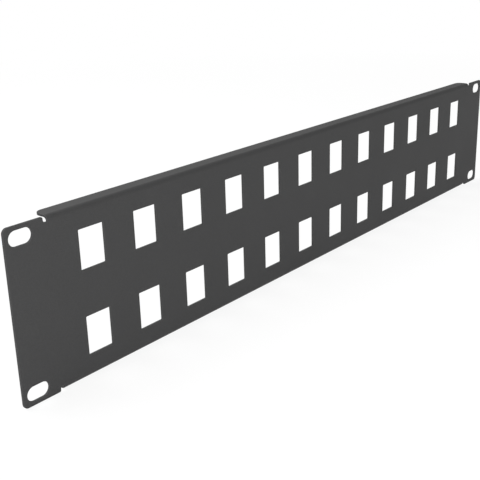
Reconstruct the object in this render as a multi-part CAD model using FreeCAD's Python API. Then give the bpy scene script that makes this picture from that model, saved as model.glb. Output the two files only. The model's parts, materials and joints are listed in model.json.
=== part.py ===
# Keystone patch panel: one steel sheet, punched and folded, that fills two units of a 19-inch rack.
# X runs along the panel, Y from its front to its back, and Z up. The origin is the centre of the rack
# slots, on the rear face of the ears, where the panel meets the rack's rails. Sizes are in millimetres.

import FreeCAD, Part
import os

# Rack grid
RACK_UNIT = 44.45            # height of one rack unit
UNITS_HIGH = 2               # units that the panel fills
UNIT_GAP = 0.8               # height left free for the panels above and below
SLOT_SPACING = 465.1         # between the two columns of rack slots
SLOT_TO_UNIT_EDGE = 6.35     # from a slot's centre to the edge of its rack unit

# Sheet and folds
SHEET = 1.2                  # thickness of the coated sheet
FOLD_RADIUS = 1.6            # inside radius of the folds
FLANGE_SIDE = 3.3            # straight end of a flange, between its fold and its rear corner
FLANGE_CORNER = 4.2          # radius of the flanges' rear corners
EDGE_BREAK = 0.2             # bevel of the cut edges on the outer skin, where the punch rolls them over

# Ears and rack slots
SLOT_LENGTH = 12.5
SLOT_WIDTH = 7.5
SLOT_TO_END = 2.5            # wall from a slot to the end of its ear
SLOT_TO_FOLD = 8.7           # wall from a slot to the end of the folds
EAR_CORNER = 2.7             # radius of the ears' outer corners
RELIEF_WIDTH = 2.3           # notch that parts an ear from a fold
RELIEF_CORNER = 0.9          # radius of the ears' corners at the notches
RELIEF_FILLET = 1.5          # radius between the ears and the notches' feet
RELIEF_PAST_FOLD = 0.1       # from the fold line to the notch's foot

# Windows for the jacks, one row in each rack unit
COLUMNS = 12
WINDOW_WIDTH = 15.4
WINDOW_HEIGHT = 20.5
WINDOW_CORNER = 0.4
WINDOW_TO_FOLD_END = 16.6    # from the end of the folds to the first window

# Sizes that follow
FRONT = -SHEET
REAR = 0.0
PANEL_HEIGHT = UNITS_HIGH * RACK_UNIT - UNIT_GAP
PANEL_WIDTH = SLOT_SPACING + SLOT_LENGTH + 2 * SLOT_TO_END
SLOT_X = SLOT_SPACING / 2
SLOT_Z = UNITS_HIGH * RACK_UNIT / 2 - SLOT_TO_UNIT_EDGE
OUTER_RADIUS = FOLD_RADIUS + SHEET
FLANGE_Z = PANEL_HEIGHT / 2
FOLD_Z = FLANGE_Z - OUTER_RADIUS
FOLD_Y = FRONT + OUTER_RADIUS
FLANGE_REAR = FOLD_Y + FLANGE_SIDE + FLANGE_CORNER
FOLD_END = SLOT_X - SLOT_LENGTH / 2 - SLOT_TO_FOLD
EAR_START = FOLD_END + RELIEF_WIDTH
RELIEF_FOOT = FOLD_Z - RELIEF_PAST_FOLD
WINDOW_PITCH = (2 * (FOLD_END - WINDOW_TO_FOLD_END) - WINDOW_WIDTH) / (COLUMNS - 1)
BOTH = (-1, 1)
TINY = 1e-6


def vec(x, y, z):
    return FreeCAD.Vector(x, y, z)


def line(start, end):
    return Part.LineSegment(start, end).toShape()


def quarter(centre, start, end):
    """Quarter circle about a centre, from one point to another."""
    outward = start + end - centre * 2
    outward.normalize()
    middle = centre + outward * (start - centre).Length
    return Part.Arc(start, middle, end).toShape()


def outline(x, z, width, height, radius):
    """Closed outline with round corners on the front plane. A side that is all radius is left out."""
    corners = []
    for side, end in ((1, 1), (-1, 1), (-1, -1), (1, -1)):
        centre = vec(x + side * (width / 2 - radius), FRONT, z + end * (height / 2 - radius))
        beside = centre + vec(side * radius, 0, 0)
        above = centre + vec(0, 0, end * radius)
        corners.append((centre, beside, above) if side == end else (centre, above, beside))
    edges = []
    for (centre, start, end), (_, following, _) in zip(corners, corners[1:] + corners[:1]):
        edges.append(quarter(centre, start, end))
        if (following - end).Length > TINY:
            edges.append(line(end, following))
    return Part.Wire(edges)


def through(wire):
    """Solid as thick as the sheet, from an outline on its front plane."""
    return Part.Face(wire).extrude(vec(0, SHEET, 0))


def windows():
    """Openings for the jacks, a row at the middle height of each rack unit."""
    cuts = []
    for row in range(UNITS_HIGH):
        z = (row - (UNITS_HIGH - 1) / 2) * RACK_UNIT
        for column in range(COLUMNS):
            x = (column - (COLUMNS - 1) / 2) * WINDOW_PITCH
            cuts.append(through(outline(x, z, WINDOW_WIDTH, WINDOW_HEIGHT, WINDOW_CORNER)))
    return cuts


def rack_slot(side, end):
    """Obround slot for a rack screw, lying along X."""
    radius = min(SLOT_LENGTH, SLOT_WIDTH) / 2
    return through(outline(side * SLOT_X, end * SLOT_Z, SLOT_LENGTH, SLOT_WIDTH, radius))


def edge_strip(end):
    """Stock between the ears, past the notches' feet, which the fold and flange take the place of."""
    low = RELIEF_FOOT if end > 0 else -PANEL_HEIGHT / 2
    return Part.makeBox(2 * EAR_START, SHEET, PANEL_HEIGHT / 2 - RELIEF_FOOT, vec(-EAR_START, FRONT, low))


def notch_corners(sheet, height):
    """Edges straight through the sheet at the ears' sides of the notches, at a height from the middle."""
    across = [e for e in sheet.Edges if e.BoundBox.XLength < TINY and e.BoundBox.ZLength < TINY]
    at_notches = [e for e in across if abs(abs(e.CenterOfMass.x) - EAR_START) < TINY]
    return [e for e in at_notches if abs(abs(e.CenterOfMass.z) - height) < TINY]


def flat_sheet():
    """Ears and web, with every opening punched."""
    blank = through(outline(0, 0, PANEL_WIDTH, PANEL_HEIGHT, EAR_CORNER))
    blank = blank.cut([edge_strip(end) for end in BOTH])
    blank = blank.makeFillet(RELIEF_CORNER, notch_corners(blank, PANEL_HEIGHT / 2))
    blank = blank.makeFillet(RELIEF_FILLET, notch_corners(blank, RELIEF_FOOT))
    slots = [rack_slot(side, end) for side in BOTH for end in BOTH]
    return blank.cut(windows() + slots)


def flange(end):
    """Fold and flange above (1) or below (-1) the web, with round rear corners."""
    x = -FOLD_END
    inner_z = FLANGE_Z - SHEET
    centre = vec(x, FOLD_Y, end * FOLD_Z)
    foot_front = vec(x, FRONT, end * RELIEF_FOOT)
    foot_rear = vec(x, REAR, end * RELIEF_FOOT)
    web_front = vec(x, FRONT, end * FOLD_Z)
    web_rear = vec(x, REAR, end * FOLD_Z)
    outer = vec(x, FOLD_Y, end * FLANGE_Z)
    inner = vec(x, FOLD_Y, end * inner_z)
    tip_outer = vec(x, FLANGE_REAR, end * FLANGE_Z)
    tip_inner = vec(x, FLANGE_REAR, end * inner_z)
    section = Part.Wire([
        line(foot_front, web_front),
        quarter(centre, web_front, outer),
        line(outer, tip_outer),
        line(tip_outer, tip_inner),
        line(tip_inner, inner),
        quarter(centre, inner, web_rear),
        line(web_rear, foot_rear),
        line(foot_rear, foot_front),
    ])
    solid = Part.Face(section).extrude(vec(2 * FOLD_END, 0, 0))
    rear = [e for e in solid.Edges if e.BoundBox.YMin > FOLD_Y + TINY]
    rear_corners = [e for e in rear if e.BoundBox.XLength < TINY]
    return solid.makeFillet(FLANGE_CORNER, rear_corners)


def on_outer_skin(face):
    """Whether a face is part of the sheet's outer skin: its front, or the outside of a fold or flange."""
    if isinstance(face.Surface, Part.Cylinder):
        along_x = abs(face.Surface.Axis.x) > 1 - TINY
        return along_x and abs(face.Surface.Radius - OUTER_RADIUS) < TINY
    normal = face.normalAt(0, 0)
    centre = face.CenterOfMass
    is_front = normal.y < TINY - 1
    is_flange = abs(normal.z) > 1 - TINY and normal.z * centre.z > 0 and centre.y > REAR
    return is_front or is_flange


def skin_edges(solid):
    """Cut edges all round the outer skin, without the lines where two of its faces run into each other."""
    edges = [edge for face in solid.Faces if on_outer_skin(face) for edge in face.Edges]
    return [edge for edge in edges if sum(edge.isSame(other) for other in edges) == 1]


def panel():
    """The whole sheet, with the cut edges of its outer skin bevelled."""
    sheet = flat_sheet().fuse([flange(end) for end in BOTH]).removeSplitter()
    return sheet.makeChamfer(EDGE_BREAK, skin_edges(sheet))


os.makedirs("parts", exist_ok=True)
panel().exportStep("parts/panel.step")
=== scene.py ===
# Looks of the keystone patch panel: one punched and folded steel sheet with a satin black powder coat,
# standing on a white studio floor. Lengths are in metres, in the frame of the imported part.

import json
import math

import bmesh
import bpy
from mathutils import Matrix, Vector


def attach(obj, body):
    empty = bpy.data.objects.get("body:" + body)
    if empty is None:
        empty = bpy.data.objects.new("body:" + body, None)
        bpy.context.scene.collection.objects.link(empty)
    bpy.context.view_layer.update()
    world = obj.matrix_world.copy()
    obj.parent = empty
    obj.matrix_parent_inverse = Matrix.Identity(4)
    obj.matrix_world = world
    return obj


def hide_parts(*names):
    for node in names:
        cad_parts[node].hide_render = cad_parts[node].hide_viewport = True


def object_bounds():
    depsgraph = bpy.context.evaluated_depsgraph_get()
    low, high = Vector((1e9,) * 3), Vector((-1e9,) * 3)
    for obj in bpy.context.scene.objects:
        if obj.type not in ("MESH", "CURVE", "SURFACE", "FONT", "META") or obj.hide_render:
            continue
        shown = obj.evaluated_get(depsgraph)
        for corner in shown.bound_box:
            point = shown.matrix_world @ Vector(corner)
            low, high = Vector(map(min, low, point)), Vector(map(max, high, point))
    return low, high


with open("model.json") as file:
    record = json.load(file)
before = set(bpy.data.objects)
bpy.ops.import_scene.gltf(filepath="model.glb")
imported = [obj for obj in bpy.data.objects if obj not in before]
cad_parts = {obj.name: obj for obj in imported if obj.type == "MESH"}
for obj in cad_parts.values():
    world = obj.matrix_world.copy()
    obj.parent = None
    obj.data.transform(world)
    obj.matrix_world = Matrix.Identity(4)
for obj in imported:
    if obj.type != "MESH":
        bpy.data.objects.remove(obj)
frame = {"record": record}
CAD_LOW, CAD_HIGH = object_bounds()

MM = 0.001
QUARTER = math.pi / 2
BOTH = (-1, 1)
CORNERS = ((1, 1), (-1, 1), (-1, -1), (1, -1))   # of a rectangle about its middle, counter-clockwise
SAME_PLACE = 0.001 * MM                  # points nearer than this are one

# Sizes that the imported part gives
MOUNTS = {mount["name"]: mount["dims"] for mount in frame["record"]["mounts"]}
SHEET = -CAD_LOW.y                       # the ears' rear face is at zero depth
HALF_LENGTH = CAD_HIGH.x
HALF_HEIGHT = CAD_HIGH.z
FLANGE_REAR = CAD_HIGH.y
SLOT_X = MOUNTS["rack_slots"]["spacing_x_mm"] * MM / 2
SLOT_Z = MOUNTS["rack_slots"]["spacing_y_mm"] * MM / 2
SLOT_RADIUS = MOUNTS["rack_slots"]["hole_r_mm"] * MM
SLOT_LENGTH = MOUNTS["rack_slots"]["slot_length_mm"] * MM
WINDOW_PITCH = MOUNTS["jack_windows"]["spacing_x_mm"] * MM
ROW_PITCH = MOUNTS["jack_windows"]["spacing_y_mm"] * MM
ROWS = 2
COLUMNS = MOUNTS["jack_windows"]["count"] // ROWS

# Shape of the sheet
FOLD_RADIUS = 1.6 * MM                   # inside the folds
FLANGE_CORNER = 4.2 * MM
SLOT_TO_FOLD = 8.7 * MM                  # wall from a slot to the end of the folds
EAR_CORNER = 2.7 * MM
RELIEF_WIDTH = 2.3 * MM                  # notch that parts an ear from a fold
RELIEF_CORNER = 0.9 * MM                 # ears' corners at the notches
RELIEF_FILLET = 1.5 * MM                 # between the ears and the notches' feet
RELIEF_PAST_FOLD = 0.1 * MM              # from the fold line to a notch's foot
RELIEF_ROOT = 0.05 * MM                  # radius that the coat leaves between a foot and its fold
WINDOW_WIDTH = 15.4 * MM
WINDOW_HEIGHT = 20.5 * MM
WINDOW_CORNER = 0.4 * MM
ROLLED_EDGE = 0.2 * MM                   # rounding where the punch went in, on the outer skin
COATED_EDGE = 0.1 * MM                   # rounding where the punch came out, under the coat

# Fineness of the mesh
EDGE_STEPS = 4                           # round a cut edge
FOLD_STEPS = 8                           # round a fold
CORNER_STEPS = 3                         # round the sharpest corner of a cut
CORNER_STEP = 0.4 * MM                   # a corner has one more step for each such length of its radius

# Sizes that follow
OUTER_RADIUS = FOLD_RADIUS + SHEET
FOLD_Z = HALF_HEIGHT - OUTER_RADIUS
FOLD_Y = OUTER_RADIUS - SHEET
FOLD_LENGTH = OUTER_RADIUS * QUARTER     # of a fold's outer skin, laid flat
TIP = FOLD_Z + FOLD_LENGTH + FLANGE_REAR - FOLD_Y
FOLD_END = SLOT_X - SLOT_LENGTH / 2 - SLOT_TO_FOLD
EAR_START = FOLD_END + RELIEF_WIDTH
RELIEF_FOOT = FOLD_Z - RELIEF_PAST_FOLD

# Powder coat
COAT_DARK = (0.030, 0.030, 0.0303)
COAT_PALE = (0.038, 0.038, 0.0383)
# paler colour on the rounded cut edges: a painted highlight
EDGE_HIGHLIGHT_COLOUR = (0.050, 0.050, 0.051)
COAT_SPECULAR = 0.25
GRAIN = (0.5 * MM, 2)                    # size and detail of a noise
PEBBLES = (1.1 * MM, 3)
CLOUDS = (45 * MM, 2)
NOISE_RANGE = (0.3, 0.7)                 # values between which most of a noise lies
GRAIN_ROUGHNESS = (0.27, 0.33)           # this and the next add up to the coat's roughness
CLOUD_ROUGHNESS = (0.28, 0.32)
PEBBLE_HEIGHT = 0.04 * MM
PEBBLE_STRENGTH = 0.5

# Floor
FLOOR_HALF = 12
FLOOR_GAP = 0.05 * MM                    # between the floor and the panel
FLOOR_COLOUR = (0.95, 0.95, 0.95)
FLOOR_GLOW = 0.88                        # share of plain white in what is seen of the floor near the panel
SHADOW_NEAR = 0.3                        # from this distance the share grows
SHADOW_FAR = 1.2                         # from this one the floor is plain white

# Soft light: a white tent, dark overhead, a low lamp at the front left, and a wide one high up behind
HORIZON_LIGHT = 1.0
ZENITH_LIGHT = 0.0
TENT_WALL = 0.05                         # height of a direction up to which the tent has its full light
LAMPS = {                                # place, power in watts and width of each
    "front_lamp": ((-0.40, -0.45, 0.20), 2.0, 0.35),
    "rear_lamp": ((-0.35, 0.60, 1.10), 22.0, 1.3),
}
LAMP_TARGET = Vector((-0.10, 0, 0))

# Camera at the photograph's viewing angle
CAMERA_SENSOR = 36                       # width in millimetres, as the lens
CAMERA_LENS = 61.043
CAMERA_SHIFT = -0.04608
CAMERA_NEAR = 0.01
CAMERA_PLACE = (-0.42715, -0.29185, 0.15350)
CAMERA_TURN = (71.9465, 1.6501, -50.2937)   # degrees about X, Y and Z


def rim_profile():
    """Round edges and straight wall of a cut, from the outer skin to the inner one.
    Each step is its inset into the sheet, its depth and the angle that it faces."""
    rim = []
    for step in range(EDGE_STEPS + 1):
        facing = QUARTER * (step / EDGE_STEPS - 1)
        rim.append((ROLLED_EDGE * (1 - math.cos(facing)), ROLLED_EDGE * (1 + math.sin(facing)), facing))
    for step in range(EDGE_STEPS + 1):
        facing = QUARTER * step / EDGE_STEPS
        depth = SHEET - COATED_EDGE * (1 - math.sin(facing))
        rim.append((COATED_EDGE * (1 - math.cos(facing)), depth, facing))
    return rim


def cut_line(corners, inset, is_hole):
    """Points of a cut in the flat sheet, moved into the sheet by inset, each with the way out of the sheet.
    Corners are (x, height, radius), counter-clockwise, and every corner is square."""
    spots = [Vector(corner[:2]) for corner in corners]
    points = []
    for i, (here, (_, _, radius)) in enumerate(zip(spots, corners)):
        back = (spots[i - 1] - here).normalized()
        on = (spots[(i + 1) % len(spots)] - here).normalized()
        turns_left = on.x * back.y - on.y * back.x > 0
        into = 1 if turns_left != is_hole else -1
        middle = here + (back + on) * radius
        steps = CORNER_STEPS + round(radius / CORNER_STEP)
        for step in range(steps + 1):
            angle = QUARTER * step / steps
            out = -(on * math.cos(angle) + back * math.sin(angle))
            point = middle + out * (radius - inset * into)
            if not points or (point - points[-1][0]).length > SAME_PLACE:
                points.append((point, out * into))
    if (points[0][0] - points[-1][0]).length < SAME_PLACE:
        points.pop()
    return points


def rectangle(x, z, width, height, radius):
    """Corners of an opening, counter-clockwise."""
    return [(x + side * width / 2, z + end * height / 2, radius) for side, end in CORNERS]


def sheet_outline():
    """Corners of the whole sheet laid flat, counter-clockwise, from the right ear's top corner."""
    quadrant = [
        (HALF_LENGTH, HALF_HEIGHT, EAR_CORNER),
        (EAR_START, HALF_HEIGHT, RELIEF_CORNER),
        (EAR_START, RELIEF_FOOT, RELIEF_FILLET),
        (FOLD_END, RELIEF_FOOT, RELIEF_ROOT),
        (FOLD_END, TIP, FLANGE_CORNER),
    ]
    top = quadrant + [(-x, z, radius) for x, z, radius in reversed(quadrant)]
    return top + [(-x, -z, radius) for x, z, radius in top]


def openings():
    """Corners of the jack windows and of the rack slots."""
    for row in range(ROWS):
        z = (row - (ROWS - 1) / 2) * ROW_PITCH
        for column in range(COLUMNS):
            x = (column - (COLUMNS - 1) / 2) * WINDOW_PITCH
            yield rectangle(x, z, WINDOW_WIDTH, WINDOW_HEIGHT, WINDOW_CORNER)
    for side in BOTH:
        for end in BOTH:
            yield rectangle(side * SLOT_X, end * SLOT_Z, SLOT_LENGTH, 2 * SLOT_RADIUS, SLOT_RADIUS)


def cut_rim(work, corners, is_hole):
    """Adds the rim of a cut to the flat sheet. Gives its edges on the outer skin and on the inner one."""
    facing_of = work.verts.layers.float_vector["facing"]
    edge_of = work.verts.layers.float["cut_edge"]
    rings = []
    for inset, depth, facing in rim_profile():
        ring = []
        for point, out in cut_line(corners, inset, is_hole):
            vert = work.verts.new((point.x, depth, point.y))
            across = out * math.cos(facing)
            vert[facing_of] = (across.x, math.sin(facing), across.y)
            vert[edge_of] = abs(math.sin(2 * facing))
            ring.append(vert)
        rings.append(ring)
    for outer, inner in zip(rings, rings[1:]):
        for i in range(len(outer)):
            work.faces.new((outer[i - 1], outer[i], inner[i], inner[i - 1]))
    ends = (rings[0], rings[-1])
    return [[work.edges.get((ring[i - 1], ring[i])) for i in range(len(ring))] for ring in ends]


def flat_sheet():
    """The sheet before it is folded, as one closed mesh: the rims of its cuts and two skins between them."""
    work = bmesh.new()
    work.verts.layers.float_vector.new("facing")
    work.verts.layers.float.new("cut_edge")
    rims = [cut_rim(work, sheet_outline(), False)]
    rims += [cut_rim(work, corners, True) for corners in openings()]
    for skin in zip(*rims):
        edges = [edge for rim in skin for edge in rim]
        bmesh.ops.triangle_fill(work, edges=edges, use_beauty=True, normal=(0, -1, 0))
    return work


def divide_folds(work):
    """Cuts the flat sheet's faces along every step of its folds."""
    for end in BOTH:
        for step in range(FOLD_STEPS + 1):
            height = end * (FOLD_Z + FOLD_LENGTH * step / FOLD_STEPS)
            everything = work.verts[:] + work.edges[:] + work.faces[:]
            cut = {"plane_co": (0, 0, height), "plane_no": (0, 0, 1), "dist": SAME_PLACE}
            bmesh.ops.bisect_plane(work, geom=everything, **cut)


def fold(flat):
    """Where a point of the flat sheet goes when its edge is folded, and how far it turns."""
    x, depth, height = flat
    end = math.copysign(1, height)
    past = abs(height) - FOLD_Z
    on_ear = abs(x) > FOLD_END + SAME_PLACE
    angle = 0 if on_ear else min(max(past / OUTER_RADIUS, 0), QUARTER)
    turn = Matrix.Rotation(-end * angle, 3, "X")
    run = Vector((0, depth - OUTER_RADIUS, end * (past - angle * OUTER_RADIUS)))
    return Vector((x, FOLD_Y, end * FOLD_Z)) + turn @ run, turn


def folded_sheet():
    """The whole panel as one closed mesh, smooth round its folds and edges."""
    work = flat_sheet()
    divide_folds(work)
    bmesh.ops.recalc_face_normals(work, faces=work.faces[:])
    facing_of = work.verts.layers.float_vector["facing"]
    facings = []
    for vert in work.verts:
        vert.co, turn = fold(vert.co)
        facings.append((turn @ vert[facing_of]).normalized())
    for face in work.faces:
        face.smooth = True
    mesh = bpy.data.meshes.new("folded_sheet")
    work.to_mesh(mesh)
    work.free()
    mesh.normals_split_custom_set_from_vertices(facings)
    return mesh


def noise(tree, place, size, detail):
    node = tree.nodes.new("ShaderNodeTexNoise")
    node.inputs["Scale"].default_value = 1 / size
    node.inputs["Detail"].default_value = detail
    tree.links.new(place, node.inputs["Vector"])
    return node.outputs["Fac"]


def remap(tree, value, source, target):
    """A value carried from one range into another, and held at that range's ends."""
    node = tree.nodes.new("ShaderNodeMapRange")
    for name, limit in zip(("From Min", "From Max", "To Min", "To Max"), (*source, *target)):
        node.inputs[name].default_value = limit
    tree.links.new(value, node.inputs["Value"])
    return node.outputs["Result"]


def combined(tree, operation, first, second):
    """Two values put together, and held between zero and one."""
    node = tree.nodes.new("ShaderNodeMath")
    node.operation = operation
    node.use_clamp = True
    tree.links.new(first, node.inputs[0])
    tree.links.new(second, node.inputs[1])
    return node.outputs["Value"]


def blend(tree, factor, low, high):
    """A colour between two others, each of which is a socket or three numbers."""
    node = tree.nodes.new("ShaderNodeMix")
    node.data_type = "RGBA"
    for name, colour in (("A", low), ("B", high)):
        socket = next(s for s in node.inputs if s.name == name and s.type == "RGBA")
        if isinstance(colour, bpy.types.NodeSocket):
            tree.links.new(colour, socket)
        else:
            socket.default_value = (*colour, 1)
    tree.links.new(factor, node.inputs["Factor"])
    return next(s for s in node.outputs if s.type == "RGBA")


def powder_coat():
    """Satin black powder coat: a fine pebbled skin, faint clouds in the gloss, and a painted highlight in a
    paler colour on the rounded cut edges.
    """
    material = bpy.data.materials.new("black_powder_coat")
    material.use_nodes = True
    tree = material.node_tree
    shader = tree.nodes["Principled BSDF"]
    shader.inputs["Specular IOR Level"].default_value = COAT_SPECULAR
    place = tree.nodes.new("ShaderNodeTexCoord").outputs["Object"]
    grain = noise(tree, place, *GRAIN)
    pebbles = noise(tree, place, *PEBBLES)
    clouds = noise(tree, place, *CLOUDS)

    edge = tree.nodes.new("ShaderNodeAttribute")
    edge.attribute_name = "cut_edge"
    speckled = blend(tree, remap(tree, grain, NOISE_RANGE, (0, 1)), COAT_DARK, COAT_PALE)
    # painted highlight: paler colour where the cut edges are rounded
    colour = blend(tree, edge.outputs["Fac"], speckled, EDGE_HIGHLIGHT_COLOUR)
    tree.links.new(colour, shader.inputs["Base Color"])

    cloud_part = remap(tree, clouds, NOISE_RANGE, CLOUD_ROUGHNESS)
    grain_part = remap(tree, grain, NOISE_RANGE, GRAIN_ROUGHNESS)
    tree.links.new(combined(tree, "ADD", cloud_part, grain_part), shader.inputs["Roughness"])

    bump = tree.nodes.new("ShaderNodeBump")
    bump.inputs["Strength"].default_value = PEBBLE_STRENGTH
    bump.inputs["Distance"].default_value = PEBBLE_HEIGHT
    tree.links.new(pebbles, bump.inputs["Height"])
    tree.links.new(bump.outputs["Normal"], shader.inputs["Normal"])
    return material


def seen_directly(tree):
    """One for what the camera sees, straight or in a reflection, and zero for light on other surfaces."""
    path = tree.nodes.new("ShaderNodeLightPath")
    seen = path.outputs["Is Camera Ray"]
    for name in ("Is Glossy Ray", "Is Transmission Ray"):
        seen = combined(tree, "ADD", seen, path.outputs[name])
    return seen


def white_floor():
    """White as it is seen, with some of the floor's own shading left near the panel for the shadow."""
    material = bpy.data.materials.new("white_floor")
    material.use_nodes = True
    tree = material.node_tree
    tree.nodes.clear()
    distance = tree.nodes.new("ShaderNodeVectorMath")
    distance.operation = "LENGTH"
    tree.links.new(tree.nodes.new("ShaderNodeTexCoord").outputs["Object"], distance.inputs[0])
    whiteness = remap(tree, distance.outputs["Value"], (SHADOW_NEAR, SHADOW_FAR), (FLOOR_GLOW, 1))
    diffuse = tree.nodes.new("ShaderNodeBsdfDiffuse")
    diffuse.inputs["Color"].default_value = (*FLOOR_COLOUR, 1)
    glow = tree.nodes.new("ShaderNodeEmission")
    mixed = tree.nodes.new("ShaderNodeMixShader")
    tree.links.new(combined(tree, "MULTIPLY", whiteness, seen_directly(tree)), mixed.inputs["Fac"])
    tree.links.new(diffuse.outputs["BSDF"], mixed.inputs[1])
    tree.links.new(glow.outputs["Emission"], mixed.inputs[2])
    output = tree.nodes.new("ShaderNodeOutputMaterial")
    tree.links.new(mixed.outputs["Shader"], output.inputs["Surface"])
    return material


def floor_plane():
    """Wide flat floor, just under the panel."""
    mesh = bpy.data.meshes.new("floor")
    corners = [(x * FLOOR_HALF, y * FLOOR_HALF, CAD_LOW.z - FLOOR_GAP) for x, y in CORNERS]
    mesh.from_pydata(corners, [], [(0, 1, 2, 3)])
    return mesh


def white_tent():
    """World that is white up to the top of the tent's wall and darkens from there to the zenith."""
    world = bpy.data.worlds.new("studio")
    world.use_nodes = True
    tree = world.node_tree
    direction = tree.nodes.new("ShaderNodeSeparateXYZ")
    tree.links.new(tree.nodes.new("ShaderNodeTexCoord").outputs["Generated"], direction.inputs["Vector"])
    light = remap(tree, direction.outputs["Z"], (TENT_WALL, 1), (HORIZON_LIGHT, ZENITH_LIGHT))
    background = tree.nodes["Background"]
    background.inputs["Color"].default_value = (1, 1, 1, 1)
    tree.links.new(light, background.inputs["Strength"])
    return world


def shown(name, data):
    made = bpy.data.objects.new(name, data)
    bpy.context.scene.collection.objects.link(made)
    return made


def add_lamp(name, place, power, width):
    """Square lamp that faces the panel and isn't seen itself."""
    lamp = bpy.data.lights.new(name, "AREA")
    lamp.energy = power
    lamp.size = width
    stand = shown(name, lamp)
    stand.location = place
    stand.rotation_euler = (Vector(place) - LAMP_TARGET).to_track_quat("Z", "Y").to_euler()
    stand.visible_camera = False


def add_camera():
    camera = bpy.data.cameras.new("camera")
    camera.sensor_width = CAMERA_SENSOR
    camera.lens = CAMERA_LENS
    camera.shift_y = CAMERA_SHIFT
    camera.clip_start = CAMERA_NEAR
    stand = shown("camera", camera)
    stand.location = CAMERA_PLACE
    stand.rotation_euler = [math.radians(angle) for angle in CAMERA_TURN]
    return stand


# The panel
sheet = shown("coated_sheet", folded_sheet())
sheet.data.materials.append(powder_coat())
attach(sheet, "root")
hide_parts("panel")

# The studio
floor = shown("floor", floor_plane())
floor.data.materials.append(white_floor())
bpy.context.scene.world = white_tent()
for name, (place, power, width) in LAMPS.items():
    add_lamp(name, place, power, width)
bpy.context.scene.camera = add_camera()
bpy.context.scene.view_settings.view_transform = "Standard"
